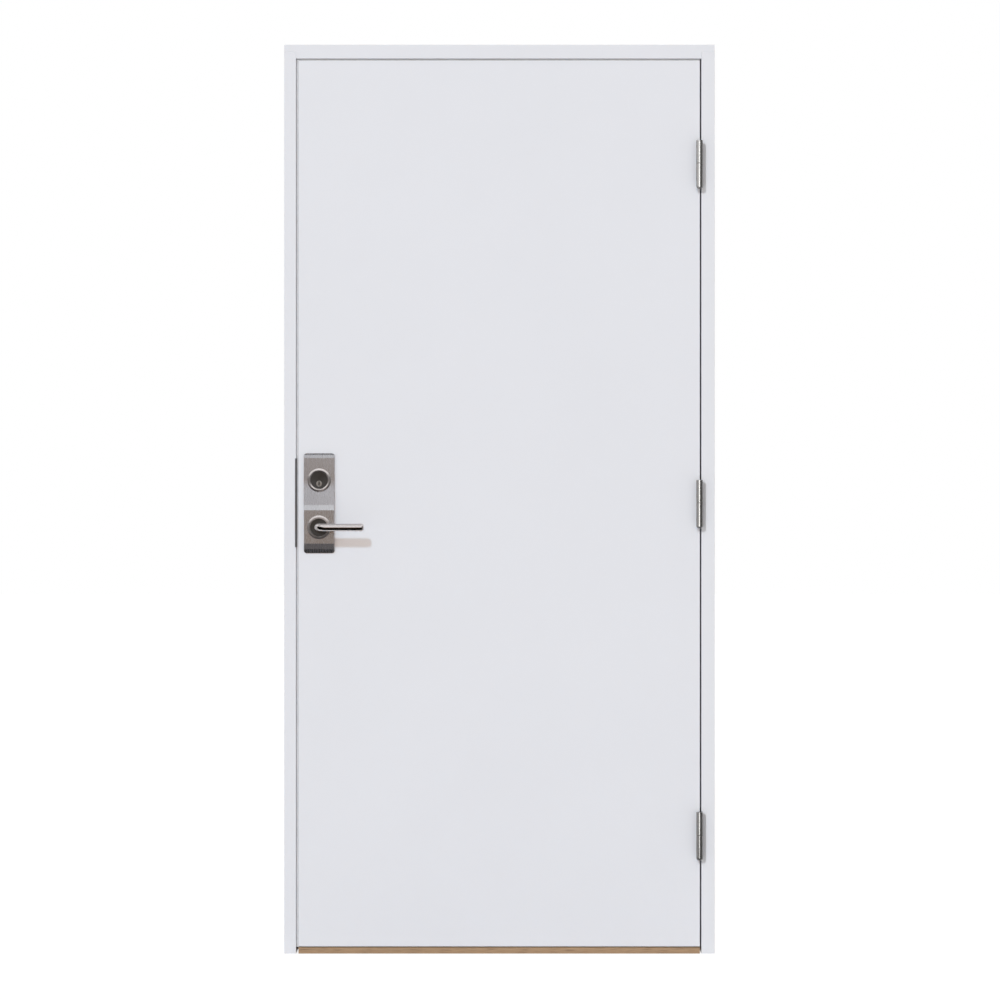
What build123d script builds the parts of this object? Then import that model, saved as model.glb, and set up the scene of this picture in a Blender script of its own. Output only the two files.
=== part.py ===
"""Apartment entrance door: a flush painted leaf in a rebated timber frame on an oak threshold.

X runs along the wall, to the right as seen from the landing. Y runs into the apartment and Z is up.
The origin is at the middle of the threshold's underside, on the floor. All sizes are in millimetres.
"""

import os

from build123d import *

LEFT, RIGHT = -1, 1
OUTWARD, INWARD = (0, -1, 0), (0, 1, 0)

# Frame
frame_width = 990.0
frame_height = 2090.0
frame_depth = 92.0
lock_jamb_face = 27.4  # the jamb seen beside the leaf on the lock side
hinge_jamb_face = 30.4  # and on the hinge side
head_face = 32.0  # the head seen above the leaf
stop_cover = 13.0  # how far the stop laps in behind the leaf
head_lap = 17.0  # the head's end that lies over a jamb
frame_arris = 1.2
joint_arris = 0.6  # where the head's end meets the jamb's top

# Leaf
leaf_thickness = 50.0
skin_thickness = 4.0
leaf_arris = 0.9
lock_gap = 5.6
hinge_gap = 3.6
head_gap = 5.0
sill_gap = 2.5
lock_stile_width = 110.0
hinge_stile_width = 60.0
top_rail_height = 60.0
bottom_rail_height = 90.0

# Threshold
threshold_lip = 14.0  # the ledge under the leaf
threshold_height = 25.0  # the upstand behind the leaf
threshold_back = 17.0  # the inner edge, lower than the upstand
threshold_flat = 12.0  # the level top of the upstand
threshold_arris = 1.0

# Seals
seal_room = 4.0  # between the leaf's back and the stop
seal_inset = 4.5  # from the stop's edge to the seal's middle
seal_width = 7.0
seal_stem_width = 3.4
seal_stem_depth = 6.5
groove_width = 4.0
groove_depth = 7.0
seal_clearance = 0.3
edge_seal_width = 4.0  # strip round the leaf, just behind its front skin
edge_seal_depth = 6.0  # in its groove
edge_seal_clearance = 0.8  # to the frame, the threshold and the strike

# Frame fixings
fixing_radius = 5.5
fixing_count = 4
fixing_end = 130.0  # from the frame's ends to the outer fixings
cap_radius = 9.0
cap_depth = 3.0
cap_clearance = 0.15

# Hinges
knuckle_radius = 7.5
knuckle_length = 52.5
knuckle_standoff = 5.0  # from the frame's face to the barrel
barrel_tip = 6.0
barrel_tip_round = 5.5
barrel_end_chamfer = 0.6
collar_thickness = 1.2
collar_radius = 7.0
pin_radius = 4.5
pin_reach = 40.0  # into each knuckle
pin_clearance = 0.05
flag_thickness = 2.2
flag_depth = 26.0
flag_corner = 8.0
flag_clearance = 0.2
flag_screw_end = 14.0  # from the flag's ends to the outer screws
flag_screw_near = 11.0  # from the face to the middle screw
flag_screw_far = 17.0  # and to the outer ones
screw_radius = 2.4
screw_head_radius = 4.2
top_hinge_drop = 185.0  # from the leaf's top to the top hinge's upper end
middle_hinge_height = 1089.0
bottom_hinge_height = 327.0

# Lock
backset = 48.0  # from the leaf's edge to the lock's axes
handle_height = 980.5
cylinder_rise = 108.0  # from the handle's axis to the cylinder's
forend_width = 22.0
forend_height = 235.0
forend_thickness = 3.0
forend_corner = 4.0
forend_screw_end = 11.5
case_thickness = 15.0
case_height = 190.0
case_depth = 78.0
case_clearance = 0.5
bolt_thickness = 12.0
bolt_length = 30.0
bolt_clearance = 0.3
latch_height = 34.0
latch_rise = 22.0  # above the handle's axis
latch_bevel = 7.0
dead_bolt_height = 38.0
dead_bolt_drop = 8.0  # below the cylinder's axis
dead_bolt_round = 5.0

# Strike
strike_height = 204.0
strike_width = 40.0
strike_thickness = 4.0
strike_proud = 1.5  # how far it stands out of the jamb
strike_rise = 2.0  # above the lock's middle
strike_corner = 5.0
strike_screw_end = 16.0
strike_slot_margin = 3.0  # around a bolt
strike_pocket_depth = 15.0
strike_clearance = 0.2

# Outside plate
plate_width = 72.0
plate_height = 230.0
plate_below_handle = 60.0
plate_corner = 7.5
plate_draft = 10.0  # slope of the plate's sides, in degrees
plate_lower_thickness = 11.0
plate_upper_thickness = 5.5
plate_bottom_edge = 2.0  # thickness left at the bottom edge
plate_top_edge = 0.8  # and at the top edge
plate_crest_rise = 39.0  # from the handle's axis to the crest of the ramp
plate_foot = 12.0  # the steeper foot of the ramp, above the crest
plate_foot_fall = 2.3
plate_ramp = 36.5  # the even slope above the foot
plate_ramp_fall = 2.5
plate_ramp_bend = 20.0  # the hollow bend from the upper half into the slope
bottom_bevel = 13.0  # shallow slope above the bottom edge
bottom_bevel_fall = 2.5
bottom_edge_slope = 9.5  # steep slope at the bottom edge
top_bevel = 7.0
top_bevel_fall = 0.9
top_edge_slope = 4.0

# Round fittings on the plates
ring_radius = 27.0
ring_bore = 20.0
ring_height = 3.2
ring_edge = 0.9  # height of the ring's outer edge
ring_rim = 0.5  # the level rim between the ring's two slopes
ring_inner_slope = 2.7  # width of the slope down to the bore
ring_inner_edge = 1.9  # height of the ring at its bore
ring_clearance = 0.1
dish_rim = 2.0
dish_depth = 0.8  # how far the disc is hollowed below its rim
dish_clearance = 0.15
neck_clearance = 0.25
plate_hole_radius = 18.0

# Lock cylinder
cylinder_width = 20.0
cylinder_length = 34.0
cylinder_clearance = 0.4
plug_radius = 6.0
plug_drop = 8.0  # below the cylinder's axis
plug_clearance = 0.05
plug_proud = 1.2  # in front of the plate
keyway_width = 1.8
keyway_height = 8.0
keyway_depth = 22.0
keyway_lead = 0.7  # bevel round the keyway's mouth
guard_hole_radius = 6.7

# Lever
lever_radius = 8.8
lever_standoff = 56.0  # from the leaf's face to the grip's axis
lever_length = 106.0  # from the handle's axis to the grip's end
lever_bend = 16.0
lever_end_round = 7.0
spindle_width = 8.0
spindle_reach = 22.0  # into each lever
spindle_clearance = 0.1
spindle_hole_radius = 10.0
grub_hole_radius = 2.5
grub_hole_place = 13.0  # from the plate's face, under the neck

# Inside plate and thumb turn
inside_plate_thickness = 4.0
inside_plate_bevel = 1.2
inside_screw_end = 15.0
inside_ring_height = 2.9
turn_base_radius = 15.0
turn_base_height = 6.0
turn_wing_length = 40.0
turn_wing_width = 10.0
turn_wing_height = 18.0
turn_round = 3.0

# Frame places
half_width = frame_width / 2
front = -frame_depth / 2
back = frame_depth / 2
rebate_x = {LEFT: lock_jamb_face - half_width, RIGHT: half_width - hinge_jamb_face}
stop_x = {side: rebate_x[side] - side * stop_cover for side in (LEFT, RIGHT)}
stop_y = front + leaf_thickness + seal_room
seal_x = {side: stop_x[side] + side * seal_inset for side in (LEFT, RIGHT)}
jamb_height = frame_height - head_lap
rebate_top = frame_height - head_face
stop_top = rebate_top - stop_cover
head_seal_z = stop_top + seal_inset
sill_seal_z = threshold_height - seal_inset
fixing_y = front + leaf_thickness / 2
fixing_pitch = (frame_height - 2 * fixing_end) / (fixing_count - 1)
fixing_heights = [fixing_end + row * fixing_pitch for row in range(fixing_count)]

# Leaf places
leaf_left = rebate_x[LEFT] + lock_gap
leaf_right = rebate_x[RIGHT] - hinge_gap
leaf_bottom = threshold_lip + sill_gap
leaf_top = rebate_top - head_gap
leaf_back = front + leaf_thickness
leaf_middle = ((leaf_left + leaf_right) / 2, front + leaf_thickness / 2, (leaf_bottom + leaf_top) / 2)
leaf_middle_y = leaf_middle[1]
skeleton = (front + skin_thickness, leaf_back - skin_thickness)  # the depth of stiles, rails and core
core_left = leaf_left + lock_stile_width
core_right = leaf_right - hinge_stile_width
core_bottom = leaf_bottom + bottom_rail_height
core_top = leaf_top - top_rail_height

# Hinge places
hinge_axis_x = rebate_x[RIGHT] + flag_thickness - knuckle_radius
hinge_axis_y = front - knuckle_standoff - knuckle_radius
hinge_height = 2 * knuckle_length
leaf_flag_x = leaf_right - flag_thickness
hinge_tops = {
    "bottom": bottom_hinge_height,
    "middle": middle_hinge_height,
    "top": leaf_top - top_hinge_drop,
}

# Lock places
lock_x = leaf_left + backset
cylinder_height = handle_height + cylinder_rise
plug_height = cylinder_height - plug_drop
lock_middle_z = (handle_height + cylinder_height) / 2
latch_z = handle_height + latch_rise
dead_bolt_z = cylinder_height - dead_bolt_drop
strike_z = lock_middle_z + strike_rise
strike_face_x = rebate_x[LEFT] + strike_proud
strike_back_x = strike_face_x - strike_thickness
plate_bottom = handle_height - plate_below_handle
plate_top = plate_bottom + plate_height
lower_face_y = front - plate_lower_thickness
upper_face_y = front - plate_upper_thickness
inside_face_y = leaf_back + inside_plate_thickness
neck_bore = lever_radius + neck_clearance

os.makedirs("parts", exist_ok=True)


def write(piece, name):
    """Labels a finished piece and writes it as its own file."""
    piece.label = name
    export_step(piece, f"parts/{name}.step")


def slab(x_span, y_span, z_span, mode=Mode.ADD):
    """Adds a block between two planes on each axis to the piece in the making, or cuts it away."""
    spans = (x_span, y_span, z_span)
    with Locations(tuple((low + high) / 2 for low, high in spans)):
        Box(*(high - low for low, high in spans), mode=mode)


def screw_seats(middle, reach, facing):
    """Planes for two screws, a reach above and below a middle, that face out of the piece."""
    x, y, z = middle
    return [Plane((x, y, z + step), z_dir=facing) for step in (-reach, reach)]


# Frame: jambs, head and threshold


def jamb_outline(side):
    """Rebated section of a jamb: a face beside the leaf and a deeper stop behind it."""
    with BuildSketch() as outline:
        with BuildLine():
            Polyline(
                (side * half_width, front),
                (rebate_x[side], front),
                (rebate_x[side], stop_y),
                (stop_x[side], stop_y),
                (stop_x[side], back),
                (side * half_width, back),
                close=True,
            )
        make_face()
    return outline.sketch


def jamb_blank(side):
    """A jamb with rounded arrises, its seal groove and its counterbored fixing holes."""
    outline = jamb_outline(side)
    with BuildPart() as blank:
        with BuildSketch() as section:
            add(outline)
            rows = section.vertices().group_by(Axis.Y)
            stop_corner = rows[1].sort_by(lambda corner: abs(corner.X))[0]
            fillet([*rows[0], stop_corner, *rows[-1]], frame_arris)
            with Locations((seal_x[side], stop_y + groove_depth / 2)):
                Rectangle(groove_width, groove_depth, mode=Mode.SUBTRACT)
        extrude(amount=jamb_height)
        top_edges = blank.faces().sort_by(Axis.Z)[-1].edges().filter_by(Axis.X)
        chamfer(top_edges.sort_by(Axis.Y)[0], joint_arris)
        seats = [Plane((rebate_x[side], fixing_y, z), z_dir=(-side, 0, 0)) for z in fixing_heights]
        with Locations(*seats):
            CounterBoreHole(fixing_radius, cap_radius, cap_depth)
        slab(
            sorted((stop_x[side], seal_x[side])),
            (stop_y, stop_y + groove_depth),
            (head_seal_z - groove_width / 2, head_seal_z + groove_width / 2),
            mode=Mode.SUBTRACT,
        )
    return blank.part


def flag(near_x, top, lead=0.0, clearance=0.0):
    """Hinge flag let into an edge: its inner corners are rounded and it starts a lead before the face."""
    with BuildPart() as plate:
        with BuildSketch(Plane.YZ.offset(near_x)):
            with Locations((front + (flag_depth + clearance - lead) / 2, top - hinge_height / 2)):
                Rectangle(flag_depth + clearance + lead, hinge_height + 2 * clearance)
        extrude(amount=flag_thickness)
        fillet(plate.edges().filter_by(Axis.X).group_by(Axis.Y)[-1], flag_corner)
    return plate.part


def strike_outline(clearance):
    """The strike's flat shape in the jamb's rebate, with its inner corners rounded."""
    with BuildSketch() as outline:
        with Locations((front + (strike_width + clearance) / 2, strike_z)):
            Rectangle(strike_width + clearance, strike_height + 2 * clearance)
        fillet(outline.vertices().group_by(Axis.X)[-1], strike_corner)
    return outline.sketch


def bolt_slots(x_span):
    """Cuts the two openings that take the bolts, with a margin all round."""
    half_slot = bolt_thickness / 2 + strike_slot_margin
    for z, height in ((latch_z, latch_height), (dead_bolt_z, dead_bolt_height)):
        slab(
            x_span,
            (leaf_middle_y - half_slot, leaf_middle_y + half_slot),
            (z - height / 2 - strike_slot_margin, z + height / 2 + strike_slot_margin),
            mode=Mode.SUBTRACT,
        )


hinge_jamb_blank = jamb_blank(RIGHT)
frame_recesses = [flag(rebate_x[RIGHT], top, frame_arris, flag_clearance) for top in hinge_tops.values()]
with BuildPart() as hinge_jamb:
    add(hinge_jamb_blank)
    add(frame_recesses, mode=Mode.SUBTRACT)
write(hinge_jamb.part, "hinge_jamb")

lock_jamb_blank = jamb_blank(LEFT)
strike_recess = strike_outline(strike_clearance)
with BuildPart() as lock_jamb:
    add(lock_jamb_blank)
    with BuildSketch(Plane.YZ.offset(strike_back_x)):
        add(strike_recess)
    extrude(amount=strike_thickness, mode=Mode.SUBTRACT)
    bolt_slots((strike_back_x - strike_pocket_depth, strike_back_x))
write(lock_jamb.part, "lock_jamb")

jamb_outlines = [jamb_outline(side) for side in (LEFT, RIGHT)]
with BuildPart() as head:
    with BuildSketch(Plane.YZ.offset(-half_width)) as head_section:
        with BuildLine():
            Polyline(
                (front, frame_height),
                (front, rebate_top),
                (stop_y, rebate_top),
                (stop_y, stop_top),
                (back, stop_top),
                (back, frame_height),
                close=True,
            )
        make_face()
        head_rows = head_section.vertices().group_by(Axis.Y)
        fillet([*head_rows[0], head_rows[1].sort_by(Axis.X)[0], *head_rows[-1]], frame_arris)
        with Locations((stop_y + groove_depth / 2, head_seal_z)):
            Rectangle(groove_depth, groove_width, mode=Mode.SUBTRACT)
    extrude(amount=frame_width)
    with BuildSketch():
        add(jamb_outlines)
    extrude(amount=jamb_height, mode=Mode.SUBTRACT)
    lap_faces = head.faces().filter_by(Axis.Z).filter_by_position(Axis.Z, jamb_height, jamb_height)
    lap_edges = [face.edges().filter_by(Axis.X).sort_by(Axis.Y)[0] for face in lap_faces]
    chamfer(lap_edges, joint_arris)
write(head.part, "head")

with BuildPart() as threshold:
    with BuildSketch(Plane.YZ.offset(-half_width)) as threshold_section:
        with BuildLine():
            Polyline(
                (front, 0),
                (front, threshold_lip),
                (stop_y, threshold_lip),
                (stop_y, threshold_height),
                (stop_y + threshold_flat, threshold_height),
                (back, threshold_back),
                (back, 0),
                close=True,
            )
        make_face()
        columns = threshold_section.vertices().group_by(Axis.X)
        end_corners = [column.sort_by(Axis.Y)[-1] for column in (columns[0], columns[-1])]
        fillet([*end_corners, *threshold_section.vertices().group_by(Axis.Y)[-1]], threshold_arris)
        with Locations((stop_y + groove_depth / 2, sill_seal_z)):
            Rectangle(groove_depth, groove_width, mode=Mode.SUBTRACT)
    extrude(amount=frame_width)
    with BuildSketch():
        with Locations((leaf_middle[0], (front + stop_y) / 2)):
            Rectangle(leaf_right - leaf_left, stop_y - front)
        with Locations(((stop_x[LEFT] + stop_x[RIGHT]) / 2, (stop_y + back) / 2)):
            Rectangle(stop_x[RIGHT] - stop_x[LEFT], back - stop_y)
    extrude(amount=threshold_height, mode=Mode.INTERSECT)
write(threshold.part, "threshold")


# Seals, fixing caps and strike


def seal_strip(start, run, across, length):
    """A seal with a domed lip towards the leaf and a stem in its groove, from a start along a run."""
    section_plane = Plane(origin=start, x_dir=across, z_dir=run)
    to_leaf = section_plane.to_local_coords(Vector(*start) + Vector(*OUTWARD)).Y
    with BuildPart() as strip:
        with BuildSketch(section_plane):
            with BuildLine():
                lip = to_leaf * (seal_room - seal_clearance)
                ThreePointArc((-seal_width / 2, 0), (0, lip), (seal_width / 2, 0))
                Line((seal_width / 2, 0), (-seal_width / 2, 0))
            make_face()
            with Locations((0, -to_leaf * seal_stem_depth / 2)):
                Rectangle(seal_stem_width, seal_stem_depth)
        extrude(amount=length)
    return strip.part


def mitre(side, shift):
    """Plane across the upper corner on one side, where a side seal meets the head's."""
    return Plane((seal_x[side], stop_y, head_seal_z), z_dir=(side, 0, -1)).offset(shift)


side_seal_bottom = threshold_lip + seal_clearance
side_seal_length = rebate_top - side_seal_bottom
for side, name in ((LEFT, "lock"), (RIGHT, "hinge")):
    strip = seal_strip((seal_x[side], stop_y, side_seal_bottom), (0, 0, 1), (1, 0, 0), side_seal_length)
    with BuildPart() as side_seal:
        add(strip)
        split(bisect_by=mitre(side, seal_clearance / 2), keep=Keep.TOP)
    write(side_seal.part, f"seal_{name}_jamb")

opening_width = rebate_x[RIGHT] - rebate_x[LEFT]
head_strip = seal_strip((rebate_x[LEFT], stop_y, head_seal_z), (1, 0, 0), (0, 0, 1), opening_width)
with BuildPart() as head_seal:
    add(head_strip)
    for side in (LEFT, RIGHT):
        split(bisect_by=mitre(side, -seal_clearance / 2), keep=Keep.BOTTOM)
write(head_seal.part, "seal_head")

sill_seal_start = stop_x[LEFT] + seal_clearance
sill_seal_length = stop_x[RIGHT] - seal_clearance - sill_seal_start
sill_seal = seal_strip((sill_seal_start, stop_y, sill_seal_z), (1, 0, 0), (0, 0, 1), sill_seal_length)
write(sill_seal, "seal_threshold")

with BuildPart() as fixing_caps:
    for side in (LEFT, RIGHT):
        with BuildSketch(Plane.YZ.offset(rebate_x[side])):
            with Locations(*((fixing_y, z) for z in fixing_heights)):
                Circle(cap_radius - cap_clearance)
        extrude(amount=side * cap_depth)
write(fixing_caps.part, "fixing_caps")

strike_shape = strike_outline(0)
with BuildPart() as strike_plate:
    with BuildSketch(Plane.YZ.offset(strike_back_x)):
        add(strike_shape)
    extrude(amount=strike_thickness)
    bolt_slots((strike_back_x, strike_face_x))
    screw_reach = strike_height / 2 - strike_screw_end
    with Locations(*screw_seats((strike_face_x, leaf_middle_y, strike_z), screw_reach, (1, 0, 0))):
        CounterSinkHole(screw_radius, screw_head_radius)
write(strike_plate.part, "strike_plate")


# Lift-off hinges: the leaf's half turns on a pin that stands in the frame's half


def knuckle_outline(web_x):
    """Barrel and web of a knuckle in plan: the web runs from the barrel back to the flag in its edge."""
    with BuildSketch() as outline:
        with Locations((hinge_axis_x, hinge_axis_y)):
            Circle(knuckle_radius)
        with Locations((web_x + flag_thickness / 2, (hinge_axis_y + front) / 2)):
            Rectangle(flag_thickness, front - hinge_axis_y)
    return outline.sketch


for place, top in hinge_tops.items():
    split_z = top - knuckle_length
    lower_end = split_z - knuckle_length
    lower_top = split_z - collar_thickness / 2
    upper_end = split_z + collar_thickness / 2
    pin_bore = pin_radius + pin_clearance
    bore_depth = pin_reach - collar_thickness / 2 + pin_clearance

    flag_screws = [
        (front + flag_screw_far, top - flag_screw_end),
        (front + flag_screw_near, split_z),
        (front + flag_screw_far, lower_end + flag_screw_end),
    ]

    frame_knuckle, frame_flag = knuckle_outline(rebate_x[RIGHT]), flag(rebate_x[RIGHT], top)
    with BuildPart() as frame_half:
        with BuildSketch(Plane.XY.offset(lower_end - barrel_tip)):
            with Locations((hinge_axis_x, hinge_axis_y)):
                Circle(knuckle_radius)
        extrude(amount=barrel_tip + lower_top - lower_end)
        fillet(frame_half.faces().sort_by(Axis.Z)[0].edges(), barrel_tip_round)
        with BuildSketch(Plane.XY.offset(lower_end)):
            add(frame_knuckle)
        extrude(amount=lower_top - lower_end)
        add(frame_flag)
        with Locations((hinge_axis_x, hinge_axis_y, lower_top)):
            Hole(pin_bore, depth=bore_depth)
        with Locations(*(Plane((rebate_x[RIGHT], y, z), z_dir=(-1, 0, 0)) for y, z in flag_screws)):
            CounterSinkHole(screw_radius, screw_head_radius)
    write(frame_half.part, f"hinge_{place}_frame_half")

    leaf_knuckle, leaf_flag = knuckle_outline(leaf_flag_x), flag(leaf_flag_x, top)
    with BuildPart() as leaf_half:
        with BuildSketch(Plane.XY.offset(upper_end)):
            add(leaf_knuckle)
        extrude(amount=top - upper_end)
        rim = leaf_half.faces().sort_by(Axis.Z)[-1].edges().filter_by(GeomType.CIRCLE)
        chamfer(rim, barrel_end_chamfer)
        add(leaf_flag)
        with Locations(Plane((hinge_axis_x, hinge_axis_y, upper_end), z_dir=(0, 0, -1))):
            Hole(pin_bore, depth=bore_depth)
        with Locations(*(Plane((leaf_right, y, z), z_dir=(1, 0, 0)) for y, z in flag_screws)):
            CounterSinkHole(screw_radius, screw_head_radius)
    write(leaf_half.part, f"hinge_{place}_leaf_half")

    with BuildPart() as pin:
        with Locations((hinge_axis_x, hinge_axis_y, split_z)):
            Cylinder(pin_radius, 2 * pin_reach)
            Cylinder(collar_radius, collar_thickness)
    write(pin.part, f"hinge_{place}_pin")


# Leaf: two skins over a skeleton of stiles and rails with a solid core, and a strip that seals its edge


def lock_openings():
    """The bores through the leaf's face for the handle's spindle and the oval cylinder."""
    with BuildPart() as bores:
        with BuildSketch(Plane.XZ.offset(-leaf_back)):
            with Locations((lock_x, handle_height)):
                Circle(spindle_hole_radius)
            with Locations((lock_x, cylinder_height)):
                SlotOverall(
                    cylinder_length + 2 * cylinder_clearance,
                    cylinder_width + 2 * cylinder_clearance,
                    rotation=90,
                )
        extrude(amount=leaf_thickness)
    return bores.part


def case_solid(clearance):
    """The lock's forend and case as they lie in the leaf's edge, grown by a clearance round the case."""
    with BuildPart() as solid:
        with BuildSketch(Plane.YZ.offset(leaf_left)):
            with Locations((leaf_middle_y, lock_middle_z)):
                RectangleRounded(forend_width, forend_height, forend_corner)
        extrude(amount=forend_thickness)
        with BuildSketch(Plane.YZ.offset(leaf_left + forend_thickness)):
            with Locations((leaf_middle_y, lock_middle_z)):
                Rectangle(case_thickness + 2 * clearance, case_height + 2 * clearance)
        extrude(amount=case_depth + clearance)
    return solid.part


seal_left = rebate_x[LEFT] + edge_seal_clearance
seal_bottom = threshold_lip + edge_seal_clearance
seal_top = rebate_top - edge_seal_clearance
groove_left = leaf_left + edge_seal_depth
groove_bottom = leaf_bottom + edge_seal_depth
groove_top = leaf_top - edge_seal_depth
edge_seal_y = (skeleton[0], skeleton[0] + edge_seal_width)
notch_reach = strike_height / 2 + edge_seal_clearance
with BuildPart() as edge_seal:
    with BuildSketch(Plane.XZ.offset(-edge_seal_y[0])):
        with BuildLine():
            Polyline(
                (leaf_right, seal_bottom),
                (seal_left, seal_bottom),
                (seal_left, seal_top),
                (leaf_right, seal_top),
                (leaf_right, groove_top),
                (groove_left, groove_top),
                (groove_left, groove_bottom),
                (leaf_right, groove_bottom),
                close=True,
            )
        make_face()
    extrude(amount=-edge_seal_width)
    slab(
        (seal_left, strike_face_x + edge_seal_clearance),
        edge_seal_y,
        (strike_z - notch_reach, strike_z + notch_reach),
        mode=Mode.SUBTRACT,
    )
write(edge_seal.part, "leaf_edge_seal")

face_bores = lock_openings()
leaf_recesses = [flag(leaf_flag_x, top, leaf_arris, flag_clearance) for top in hinge_tops.values()]

for name, skin_y, outer_row in (
    ("leaf_front_skin", (front, skeleton[0]), 0),
    ("leaf_back_skin", (skeleton[1], leaf_back), -1),
):
    with BuildPart() as skin:
        slab((leaf_left, leaf_right), skin_y, (leaf_bottom, leaf_top))
        fillet(skin.faces().sort_by(Axis.Y)[outer_row].edges(), leaf_arris)
        add(face_bores, mode=Mode.SUBTRACT)
        add(leaf_recesses, mode=Mode.SUBTRACT)
    write(skin.part, name)

lock_mortise = case_solid(case_clearance)
with BuildPart() as leaf_lock_stile:
    slab((leaf_left, core_left), skeleton, (leaf_bottom, leaf_top))
    add(edge_seal.part, mode=Mode.SUBTRACT)
    add(lock_mortise, mode=Mode.SUBTRACT)
    add(face_bores, mode=Mode.SUBTRACT)
write(leaf_lock_stile.part, "leaf_lock_stile")

with BuildPart() as leaf_hinge_stile:
    slab((core_right, leaf_right), skeleton, (leaf_bottom, leaf_top))
    add(edge_seal.part, mode=Mode.SUBTRACT)
    add(leaf_recesses, mode=Mode.SUBTRACT)
write(leaf_hinge_stile.part, "leaf_hinge_stile")

for name, z_span in (
    ("leaf_top_rail", (core_top, leaf_top)),
    ("leaf_core", (core_bottom, core_top)),
    ("leaf_bottom_rail", (leaf_bottom, core_bottom)),
):
    with BuildPart() as infill:
        slab((core_left, core_right), skeleton, z_span)
        add(edge_seal.part, mode=Mode.SUBTRACT)
    write(infill.part, name)


# Lock: case with its forend, and the two bolts drawn back flush with it


def bolt(z, height, clearance=0.0, mode=Mode.ADD):
    """Adds a bolt lying in the case behind the forend's face, or cuts its channel with a clearance."""
    half_thickness = bolt_thickness / 2 + clearance
    half_height = height / 2 + clearance
    slab(
        (leaf_left, leaf_left + bolt_length + clearance),
        (leaf_middle_y - half_thickness, leaf_middle_y + half_thickness),
        (z - half_height, z + half_height),
        mode=mode,
    )


case_blank = case_solid(0)
with BuildPart() as lock_case:
    add(case_blank)
    bolt(latch_z, latch_height, bolt_clearance, mode=Mode.SUBTRACT)
    bolt(dead_bolt_z, dead_bolt_height, bolt_clearance, mode=Mode.SUBTRACT)
    add(face_bores, mode=Mode.SUBTRACT)
    screw_reach = forend_height / 2 - forend_screw_end
    with Locations(*screw_seats((leaf_left, leaf_middle_y, lock_middle_z), screw_reach, (-1, 0, 0))):
        CounterSinkHole(screw_radius, screw_head_radius, depth=forend_thickness)
write(lock_case.part, "lock_case")

with BuildPart() as latch_bolt:
    bolt(latch_z, latch_height)
    nose = latch_bolt.faces().sort_by(Axis.X)[0].edges().filter_by(Axis.Z).sort_by(Axis.Y)[-1]
    chamfer(nose, latch_bevel)
write(latch_bolt.part, "latch_bolt")

with BuildPart() as dead_bolt:
    bolt(dead_bolt_z, dead_bolt_height)
    fillet(dead_bolt.faces().sort_by(Axis.X)[0].edges().filter_by(Axis.Y), dead_bolt_round)
write(dead_bolt.part, "dead_bolt")

# Outside plate: two slopes at each end, and a ramp with a steeper foot down to the thicker half

crest_z = handle_height + plate_crest_rise
foot_top = (lower_face_y + plate_foot_fall, crest_z + plate_foot)
ramp_top = (foot_top[0] + plate_ramp_fall, foot_top[1] + plate_ramp)
bend_top = (upper_face_y, ramp_top[1] + plate_ramp_bend)
with BuildPart() as outside_plate:
    with BuildSketch(Plane.YZ.offset(lock_x - plate_width / 2)):
        with BuildLine():
            Polyline(
                bend_top,
                (upper_face_y, plate_top - top_edge_slope - top_bevel),
                (upper_face_y + top_bevel_fall, plate_top - top_edge_slope),
                (front - plate_top_edge, plate_top),
                (front, plate_top),
                (front, plate_bottom),
                (front - plate_bottom_edge, plate_bottom),
                (lower_face_y + bottom_bevel_fall, plate_bottom + bottom_edge_slope),
                (lower_face_y, plate_bottom + bottom_edge_slope + bottom_bevel),
                (lower_face_y, crest_z),
                foot_top,
                ramp_top,
            )
            TangentArc(bend_top, ramp_top, tangent=(0, -1))
        make_face()
    extrude(amount=plate_width)
    with BuildSketch(Plane.XZ.offset(-front)):
        with Locations((lock_x, plate_bottom + plate_height / 2)):
            RectangleRounded(plate_width, plate_height, plate_corner)
    extrude(amount=plate_lower_thickness, taper=plate_draft, mode=Mode.INTERSECT)
    with BuildSketch(Plane.XZ.offset(-upper_face_y)):
        with Locations((lock_x, cylinder_height)):
            Circle(ring_radius + ring_clearance)
    extrude(amount=plate_lower_thickness, mode=Mode.SUBTRACT)
    with BuildSketch(Plane.XZ.offset(-front)):
        with Locations((lock_x, handle_height), (lock_x, cylinder_height)):
            Circle(plate_hole_radius)
    extrude(amount=plate_lower_thickness, mode=Mode.SUBTRACT)
write(outside_plate.part, "outside_plate")


# Round fittings: a two-sloped ring with a hollowed disc inside it


def fitting_ring(face_y, axis_z, height, outward):
    """A ring on a plate: a slope up from its edge, a narrow rim and a slope down to its bore."""
    rim_inner = ring_bore + ring_inner_slope
    rise = outward[1] * height
    with BuildPart() as ring:
        with BuildSketch(Plane.XY.offset(axis_z).shift_origin((lock_x, face_y, axis_z))):
            with BuildLine():
                Polyline(
                    (ring_bore, 0),
                    (ring_radius, 0),
                    (ring_radius, outward[1] * ring_edge),
                    (rim_inner + ring_rim, rise),
                    (rim_inner, rise),
                    (ring_bore, outward[1] * ring_inner_edge),
                    close=True,
                )
            make_face()
        revolve(axis=Axis((lock_x, face_y, axis_z), INWARD))
    return ring.part


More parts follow.
